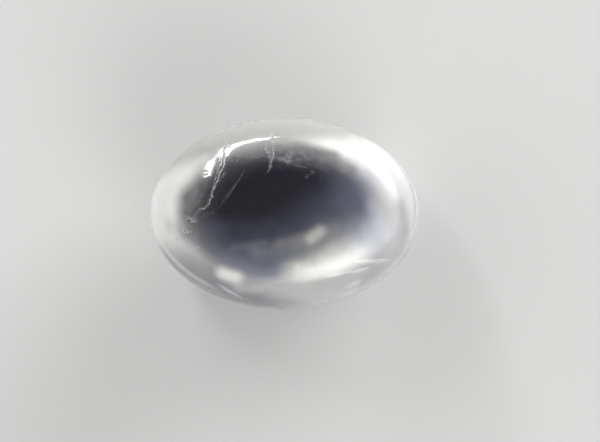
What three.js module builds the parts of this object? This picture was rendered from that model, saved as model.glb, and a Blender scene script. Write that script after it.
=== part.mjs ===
// A polished oval moonstone cabochon, in millimetres, +Z up.
// It lies dome up on a small flat spot at the middle of its shallow rounded back.
// The origin is the centre of that spot, and +X runs along the oval's long axis.

import * as THREE from "three";

// Driving dimensions
const LENGTH = 14.0; // long axis of the oval girdle
const WIDTH = 10.0; // short axis of the oval girdle
const DOME_HEIGHT = 4.3; // from the girdle's upper edge to the top of the dome
const GIRDLE_HEIGHT = 0.3; // upright band all round the oval
const BACK_DEPTH = 1.4; // from the flat spot to the girdle's lower edge
const FLAT_SHARE = 0.42; // the flat spot's size as a share of the oval's
const EDGE_BEVEL = 0.1; // eased edge below the girdle

// How the two rounded sides swell: the dome's exponent is 2 for a true ellipse and more
// for fuller shoulders, and the back's is the power by which it climbs to the girdle.
const DOME_FULLNESS = 2.25;
const BACK_POWER = 1.8;

// Fineness of the facets
const AROUND = 84;
const DOME_RINGS = 24;
const BACK_RINGS = 9;

const STONE_COLOUR = new THREE.Color(0.74, 0.76, 0.78);
const STONE_ROUGHNESS = 0.06;

// Half of the section: x is a share of the oval's half axes and y a height in millimetres.
// It runs from the centre of the flat spot out to the girdle and up to the top of the dome.
function halfSection() {
  const bevelShare = EDGE_BEVEL / (WIDTH / 2);
  const wallShare = 1 - bevelShare;
  const girdleTop = BACK_DEPTH + GIRDLE_HEIGHT;
  const points = [new THREE.Vector2(0, 0)];

  for (let ring = 0; ring <= BACK_RINGS; ring++) {
    const climb = ring / BACK_RINGS;
    const share = FLAT_SHARE + (wallShare - FLAT_SHARE) * climb;
    points.push(
      new THREE.Vector2(share, BACK_DEPTH * Math.pow(climb, BACK_POWER)),
    );
  }
  points.push(new THREE.Vector2(1, BACK_DEPTH + EDGE_BEVEL));

  for (let ring = 0; ring < DOME_RINGS; ring++) {
    const share = Math.cos((ring / DOME_RINGS) * (Math.PI / 2));
    const rise = Math.pow(
      1 - Math.pow(share, DOME_FULLNESS),
      1 / DOME_FULLNESS,
    );
    points.push(new THREE.Vector2(share, girdleTop + DOME_HEIGHT * rise));
  }
  points.push(new THREE.Vector2(0, girdleTop + DOME_HEIGHT));
  return points;
}

// The section turned about the vertical, then drawn out to the oval.
function stoneGeometry() {
  const geometry = new THREE.LatheGeometry(halfSection(), AROUND);
  geometry.rotateX(Math.PI / 2);
  geometry.scale(LENGTH / 2, WIDTH / 2, 1);
  return geometry;
}

const stone = new THREE.Mesh(
  stoneGeometry(),
  new THREE.MeshStandardMaterial({
    color: STONE_COLOUR,
    roughness: STONE_ROUGHNESS,
    metalness: 0,
  }),
);
stone.name = "moonstone";

const cabochon = new THREE.Group();
cabochon.add(stone);

export default cabochon;
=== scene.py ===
"""A polished oval moonstone cabochon: its milky finish with painted highlights and painted
see-through shade, its cracks and a plain pale studio.
"""

import math
import random

import bmesh
import bpy
from mathutils import Matrix, Vector


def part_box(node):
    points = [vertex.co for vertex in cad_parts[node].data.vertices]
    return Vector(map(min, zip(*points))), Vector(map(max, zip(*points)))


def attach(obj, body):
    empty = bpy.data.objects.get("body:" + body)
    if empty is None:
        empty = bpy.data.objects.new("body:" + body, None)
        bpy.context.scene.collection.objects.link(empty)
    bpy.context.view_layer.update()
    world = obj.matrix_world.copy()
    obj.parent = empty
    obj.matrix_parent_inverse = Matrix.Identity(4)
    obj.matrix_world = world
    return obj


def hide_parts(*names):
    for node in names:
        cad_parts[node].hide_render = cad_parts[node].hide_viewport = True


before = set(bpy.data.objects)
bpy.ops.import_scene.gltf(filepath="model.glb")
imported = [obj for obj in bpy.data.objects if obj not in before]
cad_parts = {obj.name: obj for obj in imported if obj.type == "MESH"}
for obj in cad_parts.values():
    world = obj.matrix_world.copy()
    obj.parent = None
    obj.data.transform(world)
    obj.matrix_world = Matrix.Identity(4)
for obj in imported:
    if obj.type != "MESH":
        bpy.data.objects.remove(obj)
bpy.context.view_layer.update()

MM = 0.001
stone_low, stone_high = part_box("moonstone")
HALF_LENGTH = (stone_high.x - stone_low.x) / 2
HALF_WIDTH = (stone_high.y - stone_low.y) / 2
HEIGHT = stone_high.z - stone_low.z

# The stone's section, as in the solid
BACK_DEPTH = 1.4 * MM
EDGE_BEVEL = 0.1 * MM
GIRDLE_HEIGHT = 0.3 * MM
GIRDLE_TOP = BACK_DEPTH + GIRDLE_HEIGHT
DOME_HEIGHT = HEIGHT - GIRDLE_TOP
FLAT_SHARE = 0.42
DOME_FULLNESS = 2.25
BACK_POWER = 1.8

# Fineness of the stone's mesh
BACK_STEPS = 24
DOME_STEPS = 118
TURN_STEPS = 440
MERGE_DISTANCE = 1e-7

# The photograph's frame and where the stone lies in it
PHOTO_WIDTH = 600
PHOTO_HEIGHT = 442
STONE_PIXELS_WIDE = 269
STONE_MIDDLE_PIXEL = (284.5, 213.8)

# The camera's height above the floor as an angle, its lens and sensor in millimetres, the range it
# sees in metres, and the number of tries that find the point of the dome at a pixel
CAMERA_ELEVATION = math.radians(80)
CAMERA_LENS = 180
SENSOR_WIDTH = 36
CAMERA_RANGE = (0.001, 10)
SIGHT_TRIES = 40

# A pixel's width at the stone, and the camera's distance and directions
PIXEL = 2 * HALF_LENGTH / STONE_PIXELS_WIDE
CAMERA_DISTANCE = PIXEL * PHOTO_WIDTH * CAMERA_LENS / SENSOR_WIDTH
CAMERA_RIGHT = Vector((1, 0, 0))
CAMERA_UP = Vector((0, math.sin(CAMERA_ELEVATION), math.cos(CAMERA_ELEVATION)))
CAMERA_BACK = Vector((0, -math.cos(CAMERA_ELEVATION), math.sin(CAMERA_ELEVATION)))


def camera_place():
    aim = Vector((0, 0, GIRDLE_TOP))
    aim += CAMERA_RIGHT * PIXEL * (PHOTO_WIDTH / 2 - STONE_MIDDLE_PIXEL[0])
    aim -= CAMERA_UP * PIXEL * (PHOTO_HEIGHT / 2 - STONE_MIDDLE_PIXEL[1])
    return aim + CAMERA_BACK * CAMERA_DISTANCE


def linked(name, mesh):
    piece = bpy.data.objects.new(name, mesh)
    bpy.context.scene.collection.objects.link(piece)
    return piece


# Camera
def make_camera():
    data = bpy.data.cameras.new("camera")
    camera = linked("camera", data)
    data.lens = CAMERA_LENS
    data.sensor_width = SENSOR_WIDTH
    data.clip_start, data.clip_end = CAMERA_RANGE
    camera.location = camera_place()
    camera.rotation_euler = (math.pi / 2 - CAMERA_ELEVATION, 0, 0)
    bpy.context.scene.camera = camera


# The dome's surface
def dome_rise(share):
    return (1 - min(share, 1) ** DOME_FULLNESS) ** (1 / DOME_FULLNESS)


def on_dome(x, y):
    share = math.hypot(x / HALF_LENGTH, y / HALF_WIDTH)
    return Vector((x, y, GIRDLE_TOP + DOME_HEIGHT * dome_rise(share)))


def dome_normal(x, y):
    step = 0.01 * MM
    along = on_dome(x + step, y) - on_dome(x - step, y)
    across = on_dome(x, y + step) - on_dome(x, y - step)
    return along.cross(across).normalized()


def seen_at(pixel):
    """The point of the dome that the camera sees at a pixel of the photograph."""
    eye = camera_place()
    spread = SENSOR_WIDTH / CAMERA_LENS / PHOTO_WIDTH
    ray = CAMERA_RIGHT * (pixel[0] - PHOTO_WIDTH / 2) * spread
    ray += CAMERA_UP * (PHOTO_HEIGHT / 2 - pixel[1]) * spread - CAMERA_BACK
    height = GIRDLE_TOP + DOME_HEIGHT / 2
    for _ in range(SIGHT_TRIES):
        point = eye + ray * ((height - eye.z) / ray.z)
        height = (height + on_dome(point.x, point.y).z) / 2
    return Vector((point.x, point.y, height))


# Stone
def half_section():
    """Points from the centre of the flat spot to the top of the dome.

    x is a share of the half axes.
    """
    wall = 1 - EDGE_BEVEL / HALF_WIDTH
    points = [(0, 0)]
    for step in range(BACK_STEPS + 1):
        climb = step / BACK_STEPS
        share = FLAT_SHARE + (wall - FLAT_SHARE) * climb
        points.append((share, BACK_DEPTH * climb**BACK_POWER))
    points.append((1, BACK_DEPTH + EDGE_BEVEL))
    for step in range(DOME_STEPS):
        share = math.cos(step / DOME_STEPS * math.pi / 2)
        points.append((share, GIRDLE_TOP + DOME_HEIGHT * dome_rise(share)))
    points.append((0, GIRDLE_TOP + DOME_HEIGHT))
    return points


def open_cracks(bm):
    """Sinks the polish a little along each open crack, which breaks what it mirrors."""
    top = [vert for vert in bm.verts if vert.co.z > GIRDLE_TOP]
    for name, (half, depth) in GROOVES.items():
        points = traced(CRACKS[name][0])
        left = min(point.x for point in points) - half
        right = max(point.x for point in points) + half
        lower = min(point.y for point in points) - half
        upper = max(point.y for point in points) + half
        for vert in top:
            if left < vert.co.x < right and lower < vert.co.y < upper:
                near = min((vert.co.xy - point.xy).length for point in points)
                vert.co.z -= depth * max(0, 1 - near / half)


def make_stone():
    bm = bmesh.new()
    verts = [bm.verts.new((x, 0, z)) for x, z in half_section()]
    edges = [bm.edges.new(pair) for pair in zip(verts, verts[1:])]
    bmesh.ops.spin(
        bm,
        geom=verts + edges,
        cent=(0, 0, 0),
        axis=(0, 0, 1),
        angle=2 * math.pi,
        steps=TURN_STEPS,
        use_merge=True,
    )
    bmesh.ops.remove_doubles(bm, verts=bm.verts, dist=MERGE_DISTANCE)
    bmesh.ops.scale(bm, vec=(HALF_LENGTH, HALF_WIDTH, 1), verts=bm.verts)
    bmesh.ops.recalc_face_normals(bm, faces=bm.faces)
    open_cracks(bm)
    for face in bm.faces:
        face.smooth = True
    mesh = bpy.data.meshes.new("moonstone_polished")
    bm.to_mesh(mesh)
    bm.free()
    return linked("moonstone_polished", mesh)


# Cracks as they show in the photograph: the line in its pixels, the width in millimetres,
# and how pale each is at its start and at its end
CRACKS = {
    "long_crack": (
        (
            *((228, 147), (227, 150), (225.9, 154.3), (224.5, 159), (224.2, 164.7), (222.5, 168.7)),
            *((220.2, 172.7), (217.9, 179.6), (215.6, 185.3), (213.3, 190), (211.6, 193.4)),
            *((212.7, 197.4), (209.3, 200.2), (209, 203.7), (205.8, 207.7), (203, 209.4)),
            *((199.5, 209.1), (196.6, 211.1), (193.8, 215.2), (192.5, 221)),
        ),
        0.12,
        (0.95, 0.17),
    ),
    "long_crack_twin": (
        (
            *((225.6, 146), (222, 151), (219.4, 155), (219.4, 159.5), (221, 163)),
            *((218.6, 168), (218, 172)),
        ),
        0.12,
        (0.95, 0.55),
    ),
    "link_crack": (((222.8, 157), (221.6, 160.5), (220, 164)), 0.09, (0.90, 0.60)),
    "short_crack": (((224.8, 172.1), (222.5, 176.7), (219.6, 183.6)), 0.07, (0.24, 0.12)),
    "second_crack": (
        ((244.8, 170.4), (242, 174.4), (237.4, 183), (233.9, 187.6), (231.5, 190.5)),
        0.055,
        (0.13, 0.17),
    ),
    "second_crack_middle": (
        (
            *((231.5, 190.5), (229.9, 192.8), (229, 195), (224.8, 199.7)),
            *((221.9, 203.7), (218.4, 208.3)),
        ),
        0.06,
        (0.15, 0.11),
    ),
    "second_crack_low": (
        (
            *((218.4, 208.3), (212.1, 213.4), (207.5, 216.3), (202.4, 218.9)),
            *((198.9, 219.7), (192.6, 222.6)),
        ),
        0.07,
        (0.14, 0.32),
    ),
    "knot": (
        ((187.2, 216.6), (191.5, 218.9), (188.6, 220.3), (192.3, 222.6), (196.6, 219.7)),
        0.10,
        (0.85, 0.45),
    ),
    "top_crack": (
        (
            *((276.4, 139.8), (274.6, 142), (273.3, 144.3), (273.3, 149.6), (273.5, 156.8)),
            *((272, 160.4), (270.6, 163.9), (270.6, 168), (268.4, 170.2), (266.6, 173.8)),
        ),
        0.12,
        (0.70, 0.18),
    ),
    "top_branch": (
        ((264.4, 146), (267, 152.3), (269.7, 155.9), (271.5, 158.6)),
        0.12,
        (0.60, 0.32),
    ),
    "branch_root": (((263.5, 142), (265.5, 149.5)), 0.18, (0.70, 0.40)),
    "crack_head": (((280.5, 137.6), (276.2, 139.5)), 0.11, (0.95, 0.80)),
    "feather": (
        ((274.5, 157), (280, 157.7), (282.7, 160), (287, 162.5), (291.6, 163.5)),
        0.08,
        (0.42, 0.32),
    ),
    "feather_spike": (((286.5, 159), (288, 153.2)), 0.05, (0.28, 0.20)),
    "feather_barb": (((284, 160.5), (285.4, 156)), 0.04, (0.26, 0.18)),
    "feather_middle": (((287.6, 162), (289.4, 154.4)), 0.045, (0.26, 0.20)),
    "feather_tip": (((289.2, 162.6), (290.2, 157)), 0.04, (0.24, 0.20)),
    "feather_edge": (((290.2, 154.6), (291.4, 159), (291.6, 163)), 0.06, (0.30, 0.24)),
    "faint_line": (
        ((292.5, 164), (295.2, 163.5), (299.6, 164.8), (304, 166.2), (306.8, 168.4)),
        0.06,
        (0.16, 0.08),
    ),
    "small_line": (((277.3, 166.2), (279.6, 167), (283.1, 170.6)), 0.05, (0.24, 0.20)),
    "right_line": (((319.7, 177.3), (320.6, 179.8)), 0.05, (0.10, 0.20)),
    "side_line": (((275, 145), (277.8, 147), (280, 146)), 0.06, (0.35, 0.30)),
    "twin_tail": (
        ((218, 171), (216.3, 176.5), (214.6, 181), (213, 187), (212, 193)),
        0.08,
        (0.60, 0.16),
    ),
    "knot_left": (((185.5, 214.6), (188.4, 217), (190.5, 220.2)), 0.05, (0.80, 0.60)),
    "knot_low": (((187.6, 221.4), (193.5, 221.6), (198.6, 219.8)), 0.05, (0.70, 0.40)),
}

# How far each open crack sinks the polish beside it, and how deep
GROOVES = {
    "long_crack": (0.16 * MM, 0.009 * MM),
    "long_crack_twin": (0.14 * MM, 0.008 * MM),
    "top_crack": (0.11 * MM, 0.010 * MM),
    "second_crack": (0.10 * MM, 0.006 * MM),
    "feather": (0.10 * MM, 0.006 * MM),
}

# The threads in the cracks: the step along them, how deep they reach, how far they stand proud, how
# far they wander and swell as shares of their width, how that lift varies, and how thin the tips are
TRACE_STEP = 0.07 * MM
CRACK_DEPTH = 0.25 * MM
THREAD_PROUD = 0.012 * MM
THREAD_JAG = 0.35
THREAD_SWELL = (0.45, 1.25)
THREAD_LIFT = (-0.4, 1.2)
TIP_SHARE = 0.15
TIP_SLOPE = 4
CRACK_SEED = 7

# The side threads: how many steps of the thread there are to each of them, their slant in degrees,
# their length in steps, and their width and paleness as shares of the thread's
SIDE_SPACING = 7
SIDE_SLANT = (20, 55)
SIDE_STEP = 0.06 * MM
SIDE_LENGTH = (3, 7)
SIDE_DEPTH = 0.10 * MM
SIDE_WIDTH = 0.45
SIDE_PALE = (0.8, 0.4)


def traced(pixels):
    """Points of the dome under a line through pixels, at an even step."""
    corners = [seen_at(pixel) for pixel in pixels]
    points = [corners[0]]
    for start, end in zip(corners, corners[1:]):
        parts = max(1, round((end - start).length / TRACE_STEP))
        points += [start.lerp(end, part / parts) for part in range(1, parts + 1)]
    return points


def add_thread(bm, points, width, depth, pale, draw, proud=THREAD_PROUD, jag=THREAD_JAG):
    """A jagged thread along the dome, thin at both ends, that reaches into the stone."""
    tone = bm.verts.layers.float["pale"]
    ring_verts = None
    total = len(points) - 1
    for place, point in enumerate(points):
        ahead = points[min(place + 1, total)] - points[max(place - 1, 0)]
        wander = Vector((draw.uniform(-1, 1), draw.uniform(-1, 1), 0)) * width * jag
        base = on_dome(point.x + wander.x, point.y + wander.y)
        normal = dome_normal(base.x, base.y)
        across = normal.cross(ahead).normalized()
        taper = min(1, TIP_SLOPE * min(place, total - place) / total + TIP_SHARE)
        half = width / 2 * taper * draw.uniform(*THREAD_SWELL)
        lift = proud * draw.uniform(*THREAD_LIFT)
        spots = [
            base - across * half - normal * proud,
            base + normal * lift,
            base + across * half - normal * proud,
            base - normal * depth * taper,
        ]
        if ring_verts is None:
            circle = bmesh.ops.create_circle(bm, cap_ends=True, segments=4, radius=width)
            ring_verts = circle["verts"]
            edges = {edge for vert in ring_verts for edge in vert.link_edges}
        else:
            grown = bmesh.ops.extrude_edge_only(bm, edges=list(edges))["geom"]
            edges = {part for part in grown if isinstance(part, bmesh.types.BMEdge)}
            edges = {edge for edge in edges if len(edge.link_faces) == 1}
            pairs = {}
            for vert in ring_verts:
                for edge in vert.link_edges:
                    other = edge.other_vert(vert)
                    if any(near in edges for near in other.link_edges):
                        pairs[vert] = other
            ring_verts = [pairs[vert] for vert in ring_verts]
        for vert, spot in zip(ring_verts, spots):
            vert.co = spot
            vert[tone] = pale[0] + (pale[1] - pale[0]) * place / total
    bmesh.ops.holes_fill(bm, edges=list(edges), sides=4)


def add_side_thread(bm, points, width, pale, draw):
    """A short fainter thread that leaves another one at a slant."""
    place = draw.randrange(len(points) - 1)
    ahead = (points[place + 1] - points[place]).normalized()
    slant = draw.choice((-1, 1)) * draw.uniform(*SIDE_SLANT)
    heading = Matrix.Rotation(math.radians(slant), 3, "Z") @ ahead
    steps = draw.randint(*SIDE_LENGTH)
    side = [points[place] + heading * step * SIDE_STEP for step in range(steps)]
    tone = pale[0] + (pale[1] - pale[0]) * place / len(points)
    side_pale = [tone * share for share in SIDE_PALE]
    add_thread(bm, side, width * SIDE_WIDTH, SIDE_DEPTH, side_pale, draw)


def toned_bmesh():
    """A new bmesh whose corners can say how pale they are."""
    bm = bmesh.new()
    bm.verts.layers.float.new("pale")
    return bm


def finished_piece(name, bm):
    bmesh.ops.recalc_face_normals(bm, faces=bm.faces)
    mesh = bpy.data.meshes.new(name)
    bm.to_mesh(mesh)
    bm.free()
    return linked(name, mesh)


def make_cracks():
    draw = random.Random(CRACK_SEED)
    bm = toned_bmesh()
    for pixels, width, pale in CRACKS.values():
        points = traced(pixels)
        add_thread(bm, points, width * MM, CRACK_DEPTH, pale, draw)
        for _ in range(len(points) // SIDE_SPACING):
            add_side_thread(bm, points, width * MM, pale, draw)
    return finished_piece("crack_threads", bm)


# Nests of small flakes, and a few painted glints drawn as flakes: middle and spread in pixels,
# number, heading in degrees, and how pale they are
FLAKE_AND_GLINT_NESTS = (
    ((288.5, 158.5), (4, 5), 46, 80, 0.26),
    ((289, 154), (2, 3), 14, 100, 0.26),
    ((280, 158), (5, 2), 16, 10, 0.28),
    ((295, 164), (5, 1.5), 8, -10, 0.14),
    ((303, 166), (5, 1.5), 6, -30, 0.09),
    ((310, 174), (4, 3), 6, 45, 0.09),
    ((190, 219), (6, 3), 20, -30, 0.60),
    ((198, 211), (4, 4), 10, 50, 0.16),
    ((222, 204), (8, 8), 6, 60, 0.08),
    ((222, 164), (5, 10), 8, 70, 0.40),
    ((222, 177), (3, 7), 12, 75, 0.20),
    ((200, 178), (10, 5), 34, 40, 0.62),
    ((238, 158), (8, 5), 34, 20, 0.26),
    ((266, 149), (4, 6), 26, 100, 0.36),
    ((278, 146.5), (5, 2), 8, 10, 0.34),
    ((308.6, 148.8), (0.7, 0.7), 4, 0, 0.80),
    ((319.3, 144.7), (0.8, 0.8), 5, 0, 1.10),
    ((319, 149.6), (0.8, 0.8), 4, 0, 0.80),
    ((297, 159.5), (0.7, 0.7), 3, 0, 0.20),
    ((186, 232), (6, 3), 14, 40, 0.80),
    # A painted glint
    ((198, 247), (4, 2), 8, 10, 0.80),
    # A painted glint: the white dot at the left
    ((157, 201), (1, 1), 8, 0, 1.30),
    ((355, 284.5), (5, 3), 22, 30, 1.00),
    ((206, 214), (12, 3), 16, 25, 0.12),
    ((172, 237), (10, 2), 8, -10, 1.10),
    # A painted glint at the far right
    ((408, 243), (1, 1), 6, 60, 1.30),
)

# The flakes: half length in millimetres, width as a share of it, half thickness, how far their
# headings scatter in degrees, and how their paleness varies
FLAKE_SIZES = (0.02, 0.08)
FLAKE_SLIMNESS = (0.12, 0.3)
FLAKE_THICKNESS = 0.008 * MM
FLAKE_SCATTER = 25
FLAKE_PALENESS = (0.7, 1.2)
FLAKE_SEED = 11

# Fine bright lines at the lower part, painted highlights drawn as pale threads just under the
# polish: each in pixels, and its width in millimetres
HIGHLIGHT_LINES = {
    "low_right_line": (((340, 274.4), (352, 271.5), (360, 269.7), (368, 268.2)), 0.04),
    "right_line": (((361, 260.6), (375, 259.8), (392, 259.2)), 0.035),
    "low_middle_line": (((250, 288), (270, 284), (285, 280.5), (300, 277.6)), 0.025),
    "low_left_line": (((221, 285), (230, 291), (240, 296)), 0.03),
    "left_line": (((166, 235), (171, 237), (175, 238)), 0.03),
}
LINE_DEPTH = 0.15 * MM
LINE_PROUD = 0.008 * MM
LINE_JAG = 0.05
LINE_PALE = (0.95, 0.95)
LINE_SEED = 5


def make_highlight_lines():
    draw = random.Random(LINE_SEED)
    bm = toned_bmesh()
    for pixels, width in HIGHLIGHT_LINES.values():
        points = traced(pixels)
        add_thread(bm, points, width * MM, LINE_DEPTH, LINE_PALE, draw, LINE_PROUD, LINE_JAG)
    return finished_piece("highlight_lines", bm)


def make_flakes_and_glints():
    """Tiny frosted flakes just under the polish, in nests beside the cracks, and a few painted
    glints.
    """
    draw = random.Random(FLAKE_SEED)
    bm = toned_bmesh()
    tone = bm.verts.layers.float["pale"]
    for middle, spread, number, heading, pale in FLAKE_AND_GLINT_NESTS:
        for _ in range(number):
            pixel = [mean + draw.gauss(0, reach / 2) for mean, reach in zip(middle, spread)]
            point = seen_at(pixel)
            size = draw.uniform(*FLAKE_SIZES) * MM
            normal = dome_normal(point.x, point.y).to_track_quat("Z", "Y").to_matrix().to_4x4()
            turn = Matrix.Rotation(math.radians(draw.gauss(heading, FLAKE_SCATTER)), 4, "Z")
            width = size * draw.uniform(*FLAKE_SLIMNESS)
            shape = Matrix.Diagonal((size, width, FLAKE_THICKNESS, 1))
            place = Matrix.Translation(point) @ normal @ turn @ shape
            grown = bmesh.ops.create_icosphere(bm, subdivisions=1, radius=1, matrix=place)
            for vert in grown["verts"]:
                vert[tone] = pale * draw.uniform(*FLAKE_PALENESS)
    return finished_piece("crack_flakes_and_glints", bm)


# Materials
class Nodes:
    """Adds nodes to a tree, with their settings and inputs, and links them."""

    def __init__(self, tree):
        self.tree = tree

    def add(self, kind, settings=None, inputs=None):
        node = self.tree.nodes.new(kind)
        for name, value in (settings or {}).items():
            setattr(node, name, value)
        for name, value in (inputs or {}).items():
            self.give(node.inputs[name], value)
        return node

    def give(self, socket, value):
        if isinstance(value, bpy.types.NodeSocket):
            self.tree.links.new(value, socket)
        else:
            socket.default_value = value

    def math(self, operation, first, second=0.0, third=0.0):
        node = self.add("ShaderNodeMath", {"operation": operation}, {0: first, 1: second, 2: third})
        return node.outputs[0]

    def vector(self, operation, first, second=(0, 0, 0)):
        node = self.add("ShaderNodeVectorMath", {"operation": operation}, {0: first, 1: second})
        single = operation in ("LENGTH", "DOT_PRODUCT")
        return node.outputs["Value" if single else "Vector"]

    def scaled(self, vector, factor):
        node = self.add("ShaderNodeVectorMath", {"operation": "SCALE"}, {0: vector})
        self.give(node.inputs["Scale"], factor)
        return node.outputs["Vector"]

    def fade(self, value, start, end, low=0.0, high=1.0):
        inputs = {"Value": value, "From Min": start, "From Max": end, "To Min": low, "To Max": high}
        node = self.add("ShaderNodeMapRange", {"interpolation_type": "SMOOTHSTEP"}, inputs)
        return node.outputs["Result"]

    def mix(self, share, first, second, blend="MIX"):
        node = self.add("ShaderNodeMix", {"data_type": "RGBA", "blend_type": blend})
        self.give(node.inputs[0], share)
        self.give(node.inputs[6], first)
        self.give(node.inputs[7], second)
        return node.outputs[2]

    def noise(self, place, scale, detail=3.0, roughness=0.5):
        inputs = {"Vector": place, "Scale": scale, "Detail": detail, "Roughness": roughness}
        return self.add("ShaderNodeTexNoise", None, inputs)


def new_group(name, sockets_in, sockets_out):
    group = bpy.data.node_groups.new(name, "ShaderNodeTree")
    for socket, kind in sockets_in.items():
        group.interface.new_socket(socket, in_out="INPUT", socket_type=kind)
    for socket, kind in sockets_out.items():
        group.interface.new_socket(socket, in_out="OUTPUT", socket_type=kind)
    n = Nodes(group)
    return n, n.add("NodeGroupInput").outputs, n.add("NodeGroupOutput").inputs


# How full a streak is at its middle, and the power by which it fades towards its sides
STREAK_FULLNESS = 1.02
STREAK_POWER = 1.5


def soft_streak_group():
    """A soft streak between two points, thin and faint towards both ends where Taper is 1."""
    sockets = {name: "NodeSocketVector" for name in ("Place", "From", "To")}
    sockets |= {"Width": "NodeSocketFloat", "Taper": "NodeSocketFloat"}
    n, given, out = new_group("soft_streak", sockets, {"Mask": "NodeSocketFloat"})
    span = n.vector("SUBTRACT", given["To"], given["From"])
    offset = n.vector("SUBTRACT", given["Place"], given["From"])
    span_squared = n.vector("DOT_PRODUCT", span, span)
    along = n.math("DIVIDE", n.vector("DOT_PRODUCT", offset, span), span_squared)
    along = n.add("ShaderNodeClamp", None, {"Value": along}).outputs[0]
    away = n.vector("LENGTH", n.vector("SUBTRACT", offset, n.scaled(span, along)))
    from_middle = n.math("MULTIPLY_ADD", along, 2.0, -1.0)
    narrowing = n.math("MULTIPLY", n.math("MULTIPLY", from_middle, from_middle), given["Taper"])
    fullness = n.math("SUBTRACT", STREAK_FULLNESS, narrowing)
    reach = n.math("DIVIDE", away, n.math("MULTIPLY", given["Width"], fullness))
    mask = n.math("POWER", n.fade(reach, 0, 1, 1, 0), STREAK_POWER)
    n.give(out["Mask"], n.math("MULTIPLY", mask, fullness))


def add_streak(n, place, start, end, width, taper=0.0):
    group = bpy.data.node_groups["soft_streak"]
    node = n.add("ShaderNodeGroup", {"node_tree": group}, {"Place": place})
    node.inputs["From"].default_value = start
    node.inputs["To"].default_value = end
    node.inputs["Width"].default_value = width
    node.inputs["Taper"].default_value = taper
    return node.outputs["Mask"]


def place_mm(pixel):
    return seen_at(pixel) / MM


# The window's left, right, top and bottom edges in the photograph
WINDOW_EDGES = ((182.5, 213), (371, 213), (277, 144), (277, 280))

# Tones of the stone, from dark to pale, and then those of its rim and edge. NIGHT, GREY, SLATE
# and DUSK paint the shade seen through the clear window; ICE, CREAM and GLINT paint highlights;
# PEARL is the milky rim, partly painted light; CROWN, LOW_RIM and SHADED_RIM paint shade on the
# rim, and EDGE_MAUVE a dark reflection.
NIGHT = (0.023, 0.022, 0.034)
GREY = (0.06, 0.06, 0.07)
SLATE = (0.13, 0.13, 0.145)
DUSK = (0.173, 0.188, 0.270)
BLUE_ASH = (0.30, 0.32, 0.37)
SMOKE = (0.33, 0.33, 0.34)
ASH = (0.42, 0.42, 0.43)
OLIVE_ASH = (0.42, 0.43, 0.40)
SILVER = (0.66, 0.66, 0.66)
ICE = (0.72, 0.76, 0.84)
MILK = (0.80, 0.81, 0.84)
CREAM = (0.92, 0.92, 0.87)
GLINT = (1.0, 1.0, 0.98)
PEARL = (0.95, 0.937, 0.90)
CROWN = (0.46, 0.455, 0.435)
LOW_RIM = (0.60, 0.60, 0.61)
SHADED_RIM = (0.22, 0.23, 0.25)
EDGE_MAUVE = (0.30, 0.29, 0.31)

# Milky zones in the stone, with painted highlights and painted see-through shade among them: where
# each lies in the photograph, half width in millimetres, strength and tone
MILK_AND_PAINTED_LIGHT_ZONES = (
    ((362, 180), (352, 235), 2.60, 0.45, DUSK),
    ((235, 262), (325, 254), 1.60, 0.80, DUSK),
    # Painted highlight: the bright band across the lower part, in three pieces
    ((340, 252), (373, 233), 1.70, 0.88, ICE),
    ((304, 268), (344, 255), 1.90, 0.92, CREAM),
    ((240, 288), (300, 279), 0.80, 0.60, SILVER),
    ((322, 232), (352, 226), 1.20, 0.35, ASH),
    ((200, 232), (232, 256), 1.50, 0.55, DUSK),
    # Painted see-through shade: the window darker at its left edge, in two pieces
    ((187, 198), (189, 230), 1.25, 0.90, GREY),
    ((200, 199), (203, 237), 1.00, 0.66, GREY),
    ((186, 172), (204, 158), 0.60, 0.30, PEARL),
    ((228, 152), (262, 144), 0.60, 0.50, ASH),
    # Painted highlight: the small bright spot at the lower left
    ((224, 274.5), (235, 278), 0.84, 1.00, GLINT),
    ((372, 205), (386, 236), 0.70, 0.30, MILK),
    # Painted see-through shade: the window darker at the top, in two pieces
    ((302, 149), (334, 155), 0.75, 0.60, SLATE),
    ((322, 159), (350, 169), 0.70, 0.42, SLATE),
    ((401, 208), (405, 236), 0.95, 0.70, ASH),
    ((362, 282), (402, 244), 1.10, 0.60, ASH),
    ((256, 252), (296, 252), 0.85, 0.75, BLUE_ASH),
    ((214, 228), (285, 236), 1.20, 0.26, DUSK),
    # Painted highlight: a soft bright blob with its grey wings, in four pieces
    ((280, 245), (318, 238), 0.70, 0.60, ASH),
    ((300, 242), (336, 230), 0.80, 0.60, ASH),
    ((234, 248), (264, 243), 0.40, 0.35, SMOKE),
    ((311, 239), (320.5, 231.5), 0.62, 0.68, PEARL),
    ((350, 286), (358, 282), 0.42, 0.65, MILK),
    ((170, 225), (182, 228), 0.80, 0.35, OLIVE_ASH),
)

# Painted highlight streaks, thin and faint at both ends, given in the same way: bright lines at the
# lower right and a milky one at the lower left
PAINTED_HIGHLIGHT_STREAKS = (
    ((322, 277), (350, 271.6), 0.24, 0.90, GLINT),
    ((340, 273.8), (372, 266.8), 0.21, 0.95, GLINT),
    ((352, 261.6), (378, 260.2), 0.30, 1.00, GLINT),
    ((362, 261.2), (394, 259.0), 0.24, 0.90, GLINT),
    ((214, 281), (247, 300), 0.30, 0.80, MILK),
)

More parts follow.
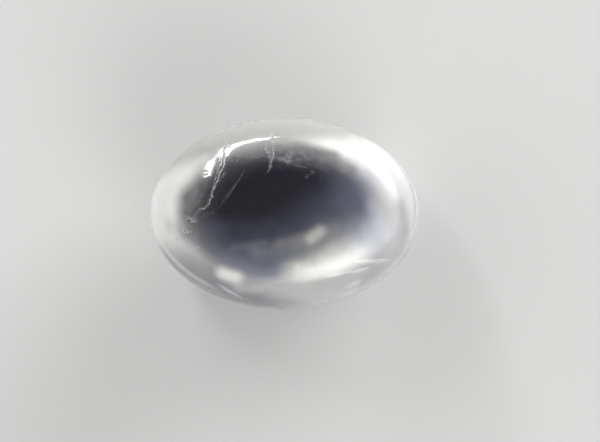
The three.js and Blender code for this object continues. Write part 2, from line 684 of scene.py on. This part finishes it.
# Grey veils beside the cracks: where each lies, half width in millimetres and strength
VEILS = (
    ((227, 145), (221, 164), 0.30, 0.70),
    ((221, 160), (214, 190), 0.22, 0.55),
    ((213, 188), (207, 206), 0.16, 0.45),
    ((206, 205), (191, 219), 0.18, 0.45),
    ((245, 169), (229, 196), 0.10, 0.25),
    ((236, 184), (220, 206), 0.22, 0.22),
    ((220, 206), (192, 223), 0.12, 0.30),
    ((275, 138), (273, 152), 0.24, 0.95),
    ((273, 150), (269, 172), 0.18, 0.70),
    ((263, 141), (272, 160), 0.28, 0.95),
    ((274, 157), (293, 162), 0.28, 0.90),
    ((288, 164), (290, 151), 0.30, 0.90),
    ((290, 164), (308, 168), 0.14, 0.35),
    ((305.5, 178), (309, 175), 0.17, 0.34),
    ((311, 173), (314, 170.5), 0.15, 0.34),
    ((185, 216), (198, 222), 0.22, 0.55),
)

# Breaks in the polish, which part the mirrored light: where each lies and its half width
POLISH_BREAKS = (
    ((202.0, 169.8), (209.6, 171.8), 0.12),
    ((202.0, 175.4), (208.8, 173.8), 0.11),
    ((217.8, 148.0), (217.4, 174.0), 0.24),
    ((226.8, 141.0), (222.4, 160.0), 0.17),
    ((224.6, 153.0), (221.4, 170.0), 0.15),
    ((272.0, 132.0), (272.4, 143.0), 0.20),
)

# Smoky wisps in the upper part of the window: where each lies and its half width
WISPS = (
    ((222, 158), (255, 150), 0.95),
    ((250, 152), (300, 150), 0.85),
    ((295, 156), (345, 164), 1.00),
    ((196, 200), (210, 172), 0.80),
)

# Where the body's painted tones fade in: a heading over the stone, and the places along it where the
# fade starts and ends, in half widths of the window. The window's painted see-through shade darkens
# towards the upper left, the rim gets painted shade at its bottom, top and lower left, and the edge
# line is a painted reflection, pale at the left and mauve at the upper right.
WINDOW_SHADE_FADE = ((0.6, -0.8), -0.15, 0.85)
LOW_RIM_FADE = ((0.45, -0.9), -0.7, 0.7)
CROWN_FADE = ((-0.25, 1.0), 0.75, 1.15)
SHADED_RIM_FADE = ((-0.55, -0.85), 0.85, 1.25)
PALE_EDGE_FADE = ((-1, -0.1), 0.6, 1.0)
MAUVE_EDGE_FADE = ((0.6, 0.75), 0.6, 1.0)

# The window's soft edge: where its haze, its rim and its clouds fade, in half widths of the window,
# how strong they are at either end of the fade, and the haze's tint
HAZE_RADII = (0.5, 1.1)
HAZE_STRENGTHS = (0, 0.14)
RIM_RADII = (0.85, 1.13)
CLOUD_RADII = (0.4, 1.1)
CLOUD_STRENGTHS = (0.6, 0.1)
BLUISH = (0.86, 0.90, 1.0)

# The painted reflection line inside the outline: the shares of the oval where it starts, peaks and
# ends, and the heights in millimetres where it fades in. Then the heights of the girdle band's
# painted highlight.
EDGE_SHARES = (0.945, 0.965, 0.985)
EDGE_HEIGHTS = (1.75, 1.85)
EDGE_STRENGTH = 0.5
GIRDLE_FOOT = (1.35, 1.45)
GIRDLE_HEAD = (1.7, 1.8)
GIRDLE_STRENGTH = 0.6


def directed(n, window, heading, start, end):
    """Fades in where the window leans to a heading."""
    return n.fade(n.vector("DOT_PRODUCT", window, (*heading, 0)), start, end)


def body_colour(n, window, cloud):
    """Painted see-through shade and painted rim light: the dark window stands for the black seen
    through the clear middle, and the milky rim is partly painted light, with painted shade at its
    bottom, top and lower left. Then the soft edge between them.
    """
    radius = n.vector("LENGTH", window)
    # The window's painted see-through shade, darkest at the upper left and bluer at the lower right
    depth = n.mix(directed(n, window, *WINDOW_SHADE_FADE), (*NIGHT, 1), (*DUSK, 1))
    # The milky rim, partly painted light, with painted shade at its bottom, top and lower left
    milky_lit_rim = n.mix(directed(n, window, *LOW_RIM_FADE), (*PEARL, 1), (*LOW_RIM, 1))
    milky_lit_rim = n.mix(directed(n, window, *CROWN_FADE), milky_lit_rim, (*CROWN, 1))
    milky_lit_rim = n.mix(directed(n, window, *SHADED_RIM_FADE), milky_lit_rim, (*SHADED_RIM, 1))
    bluish = n.mix(1, milky_lit_rim, (*BLUISH, 1), "MULTIPLY")
    colour = n.mix(n.fade(radius, *HAZE_RADII, *HAZE_STRENGTHS), depth, bluish)
    colour = n.mix(n.fade(radius, *RIM_RADII), colour, milky_lit_rim)
    clouded = n.mix(1, colour, cloud, "MULTIPLY")
    return n.mix(n.fade(radius, *CLOUD_RADII, *CLOUD_STRENGTHS), colour, clouded)


def edge_lines(n, place, window, colour):
    """A thin painted reflection line inside the outline, pale at the left and mauve at the upper
    right.

    Below it the girdle band is painted pale as a highlight.
    """
    height = n.add("ShaderNodeSeparateXYZ", None, {0: place}).outputs["Z"]
    oval = n.vector("LENGTH", n.vector("MULTIPLY", place, (MM / HALF_LENGTH, MM / HALF_WIDTH, 0)))
    start, peak, end = EDGE_SHARES
    line = n.math("MULTIPLY", n.fade(oval, start, peak), n.fade(oval, peak, end, 1, 0))
    line = n.math("MULTIPLY", line, n.fade(height, *EDGE_HEIGHTS))
    for fade, tone in ((PALE_EDGE_FADE, PEARL), (MAUVE_EDGE_FADE, EDGE_MAUVE)):
        share = n.math("MULTIPLY", line, directed(n, window, *fade))
        colour = n.mix(n.math("MULTIPLY", share, EDGE_STRENGTH), colour, (*tone, 1))
    # The girdle band, painted pale as a highlight
    girdle = n.math("MULTIPLY", n.fade(height, *GIRDLE_FOOT), n.fade(height, *GIRDLE_HEAD, 1, 0))
    return n.mix(n.math("MULTIPLY", girdle, GIRDLE_STRENGTH), colour, (*PEARL, 1))


# Unevenness in the stone. Each noise has its scale to the millimetre, its detail and for some its
# roughness, and either a reach by which it shifts a place, in millimetres, or the values of it
# between which it fades in and the strengths at either end of that fade.
MIDDLE_GREY = (0.5, 0.5, 0.5)
SWIRL_NOISE = (0.35, 2)
SWIRL_REACH = 0.9
SHIVER_NOISE = (7.0, 3)
SHIVER_REACH = 0.16
CLOUD_NOISE = (0.9, 5, 0.6)
CLOUD_FADE = (0.3, 0.7, 0.8, 1.2)
WISP_STRETCH = (1, 1.6, 1)
WISP_NOISE = (2.2, 6, 0.7)
WISP_FADE = (0.42, 0.66, 0.24, 0.62)
HATCHING_NOISE = (9.0, 3)
HATCHING_FADE = (0.35, 0.65, 0.35, 1.0)

# How much the veils and the breaks in the polish thin towards their ends
CRACK_TAPER = 0.6

# The stone's finish and its see-through values
POLISHED_ROUGHNESS = 0.16
BROKEN_ROUGHNESS = 0.6
STONE_IOR = 1.525
STONE_TRANSMISSION = 0.35
MILKINESS = 0.7
MILK_SCALE = 0.4 * MM
STONE_GLOSS = 0.35
COAT_ROUGHNESS = 0.02
COAT_IOR = 1.5
ABSORPTION_TINT = (0.7, 0.74, 0.82, 1)
ABSORPTION_DENSITY = 150.0


def stone_material():
    material = bpy.data.materials.new("moonstone")
    material.use_nodes = True
    tree = material.node_tree
    tree.nodes.clear()
    n = Nodes(tree)
    out = n.add("ShaderNodeOutputMaterial")
    place = n.scaled(n.add("ShaderNodeTexCoord").outputs["Object"], 1 / MM)
    swirl = n.vector("SUBTRACT", n.noise(place, *SWIRL_NOISE).outputs["Color"], MIDDLE_GREY)
    drift = n.vector("ADD", place, n.scaled(swirl, SWIRL_REACH))
    shiver = n.vector("SUBTRACT", n.noise(place, *SHIVER_NOISE).outputs["Color"], MIDDLE_GREY)
    ragged = n.vector("ADD", place, n.scaled(shiver, SHIVER_REACH))
    cloud = n.fade(n.noise(place, *CLOUD_NOISE).outputs[0], *CLOUD_FADE)

    left, right, top, bottom = (place_mm(pixel) for pixel in WINDOW_EDGES)
    centre = ((left[0] + right[0]) / 2, (top[1] + bottom[1]) / 2, 0)
    stretch = (2 / (right[0] - left[0]), 2 / (top[1] - bottom[1]), 0)
    window = n.vector("MULTIPLY", n.vector("SUBTRACT", drift, centre), stretch)
    colour = body_colour(n, window, cloud)
    colour = edge_lines(n, place, window, colour)

    # Milky zones with painted highlights and painted see-through shade, then the painted highlight
    # streaks
    for taper, streaks in ((0.0, MILK_AND_PAINTED_LIGHT_ZONES), (1.0, PAINTED_HIGHLIGHT_STREAKS)):
        for start, end, width, strength, tone in streaks:
            mask = add_streak(n, place, place_mm(start), place_mm(end), width, taper)
            share = n.math("MULTIPLY", n.math("MULTIPLY", mask, strength), cloud)
            colour = n.mix(share, colour, (*tone, 1))

    stretched = n.vector("MULTIPLY", drift, WISP_STRETCH)
    wisps = n.fade(n.noise(stretched, *WISP_NOISE).outputs[0], *WISP_FADE)
    for start, end, width in WISPS:
        mask = add_streak(n, drift, place_mm(start), place_mm(end), width)
        colour = n.mix(n.math("MULTIPLY", mask, wisps), colour, (*SMOKE, 1))

    hatching = n.fade(n.noise(place, *HATCHING_NOISE).outputs[0], *HATCHING_FADE)
    for start, end, width, strength in VEILS:
        mask = add_streak(n, ragged, place_mm(start), place_mm(end), width, CRACK_TAPER)
        share = n.math("MULTIPLY", n.math("MULTIPLY", mask, strength), hatching)
        colour = n.mix(share, colour, (*ASH, 1))

    polish = 1.0
    for start, end, width in POLISH_BREAKS:
        mask = add_streak(n, place, place_mm(start), place_mm(end), width, CRACK_TAPER)
        polish = n.math("SUBTRACT", polish, mask)
    polish = n.math("MAXIMUM", polish, 0.0)
    roughness = n.fade(polish, 0.0, 1.0, BROKEN_ROUGHNESS, POLISHED_ROUGHNESS)

    shader = n.add(
        "ShaderNodeBsdfPrincipled",
        None,
        {
            "Base Color": colour,
            "Roughness": roughness,
            "IOR": STONE_IOR,
            "Transmission Weight": STONE_TRANSMISSION,
            "Subsurface Weight": MILKINESS,
            "Subsurface Radius": (1.0, 1.0, 1.0),
            "Subsurface Scale": MILK_SCALE,
            "Specular IOR Level": STONE_GLOSS,
            "Coat Weight": polish,
            "Coat Roughness": COAT_ROUGHNESS,
            "Coat IOR": COAT_IOR,
        },
    )
    tree.links.new(shader.outputs[0], out.inputs["Surface"])
    absorption = {"Color": ABSORPTION_TINT, "Density": ABSORPTION_DENSITY}
    inside = n.add("ShaderNodeVolumeAbsorption", None, absorption)
    tree.links.new(inside.outputs[0], out.inputs["Volume"])
    return material


# The grain of the frosted breaks, as above, and how much bluer than grey they are
FROST_NOISE = (6.0, 4)
FROST_VALUES = (0.35, 0.65)
FROST_BLUE = 1.03


def frosted_material(name, dark_share, roughness):
    """A frosted break in the stone, which also carries the painted glints and the painted highlight
    lines. How pale it is comes from the piece's own attribute.
    """
    material = bpy.data.materials.new(name)
    material.use_nodes = True
    tree = material.node_tree
    shader = tree.nodes["Principled BSDF"]
    n = Nodes(tree)
    place = n.scaled(n.add("ShaderNodeTexCoord").outputs["Object"], 1 / MM)
    grain = n.fade(n.noise(place, *FROST_NOISE).outputs[0], *FROST_VALUES, dark_share, 1.0)
    pale = n.add("ShaderNodeAttribute", {"attribute_name": "pale"}).outputs["Fac"]
    pale = n.math("MULTIPLY", pale, grain)
    blue = n.math("MULTIPLY", pale, FROST_BLUE)
    colour = n.add("ShaderNodeCombineColor", None, {0: pale, 1: pale, 2: blue})
    n.give(shader.inputs["Base Color"], colour.outputs[0])
    shader.inputs["Roughness"].default_value = roughness
    return material


# Studio

# Soft glows in its walls: from and to in degrees round and up, half width and brightness
WALL_GLOWS = (
    ((288, 17), (309, 20), 0.48, 5.0),
    ((31, 9), (42, 9), 0.58, 2.6),
    ((160, 24), (200, 24), 0.50, 1.1),
)

# Lit panels: from and to, each in degrees round and up and in metres away, then width in metres,
# brightness, and whether the polish mirrors the panel
PANELS = {
    "key_strip": ((112.5, 9.5, 2.0), (92.5, 8.3, 5.2), 0.20, 20, True),
    "key_corner": ((112.5, 10, 2.0), (120.5, 19, 2.0), 0.22, 20, True),
    "key_box": ((137.5, 33, 1.8), (124.5, 17.8, 1.8), 0.155, 20, True),
    "side_fill": ((27, 7, 2.2), (73, 7, 2.2), 0.45, 26, False),
    "left_fill": ((135, 7, 2.2), (185, 7, 2.2), 0.45, 3.8, False),
}

# The walls dim with height, and towards the far side, where y is positive. The strengths go with
# the sines at which each fade starts and ends.
WALL_COLOUR = (1.0, 0.99, 0.975, 1)
WALL_HEIGHTS = (0.15, 0.75)
WALL_STRENGTHS = (1.3, 0.13)
WALL_DEPTHS = (-0.9, 0.2)
WALL_SHARES = (0.5, 1.2)

# Floor
FLOOR_HALF = 3.0
FLOOR_COLOUR = (0.74, 0.74, 0.74, 1)
FLOOR_ROUGHNESS = 0.8


def softbox(name, start, end, width, brightness, mirrored):
    """A lit panel between two points, facing the stone. brightness is what the panel shows."""
    data = bpy.data.lights.new(name, "AREA")
    lamp = linked(name, data)
    middle = (start + end) / 2
    along = (end - start).normalized()
    away = middle - Vector((0, 0, GIRDLE_TOP))
    away = (away - away.dot(along) * along).normalized()
    across = away.cross(along)
    data.shape = "RECTANGLE"
    data.size = (end - start).length
    data.size_y = width
    data.energy = brightness * math.pi * data.size * data.size_y
    turn = Matrix((along, across, away)).transposed().to_4x4()
    lamp.matrix_world = Matrix.Translation(middle) @ turn
    lamp.visible_camera = False
    lamp.visible_glossy = mirrored


def towards(azimuth, elevation, distance):
    a, e = math.radians(azimuth), math.radians(elevation)
    return Vector((math.cos(a) * math.cos(e), math.sin(a) * math.cos(e), math.sin(e))) * distance


def make_floor():
    bm = bmesh.new()
    bmesh.ops.create_grid(bm, x_segments=2, y_segments=2, size=FLOOR_HALF)
    mesh = bpy.data.meshes.new("studio_floor")
    bm.to_mesh(mesh)
    bm.free()
    floor = linked("studio_floor", mesh)
    floor.location.z = stone_low.z
    material = bpy.data.materials.new("studio_floor")
    material.use_nodes = True
    shader = material.node_tree.nodes["Principled BSDF"]
    shader.inputs["Base Color"].default_value = FLOOR_COLOUR
    shader.inputs["Roughness"].default_value = FLOOR_ROUGHNESS
    shader.inputs["Specular IOR Level"].default_value = 0.0
    mesh.materials.append(material)


def make_studio():
    make_floor()
    world = bpy.data.worlds.new("studio")
    bpy.context.scene.world = world
    world.use_nodes = True
    n = Nodes(world.node_tree)
    sky = n.add("ShaderNodeTexCoord").outputs["Generated"]
    up = n.add("ShaderNodeSeparateXYZ", None, {0: sky}).outputs["Z"]
    background = world.node_tree.nodes["Background"]
    background.inputs["Color"].default_value = WALL_COLOUR
    front = n.vector("DOT_PRODUCT", sky, (0, -1, 0))
    upwards = n.fade(up, *WALL_HEIGHTS, *WALL_STRENGTHS)
    strength = n.math("MULTIPLY", upwards, n.fade(front, *WALL_DEPTHS, *WALL_SHARES))
    for start, end, width, brightness in WALL_GLOWS:
        glow = add_streak(n, sky, towards(*start, 1), towards(*end, 1), width)
        strength = n.math("MULTIPLY_ADD", glow, brightness, strength)
    n.give(background.inputs["Strength"], strength)

    for name, (start, end, *rest) in PANELS.items():
        softbox(name, towards(*start), towards(*end), *rest)
    bpy.context.scene.view_settings.view_transform = "Standard"


make_camera()

soft_streak_group()
stone = make_stone()
stone.data.materials.append(stone_material())
cracks = make_cracks()
# Frosted flakes, with a few painted glints among them
flakes = make_flakes_and_glints()
# The painted highlight lines, drawn as pale threads
layers = make_highlight_lines()
frosted = frosted_material("frosted_crack_and_glint", dark_share=0.25, roughness=0.55)
for piece in (cracks, flakes):
    piece.data.materials.append(frosted)
# The frost of the painted highlight lines
bright = frosted_material("painted_highlight_line", dark_share=0.75, roughness=0.4)
layers.data.materials.append(bright)
for piece in (stone, cracks, flakes, layers):
    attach(piece, "root")
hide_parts("moonstone")
make_studio()
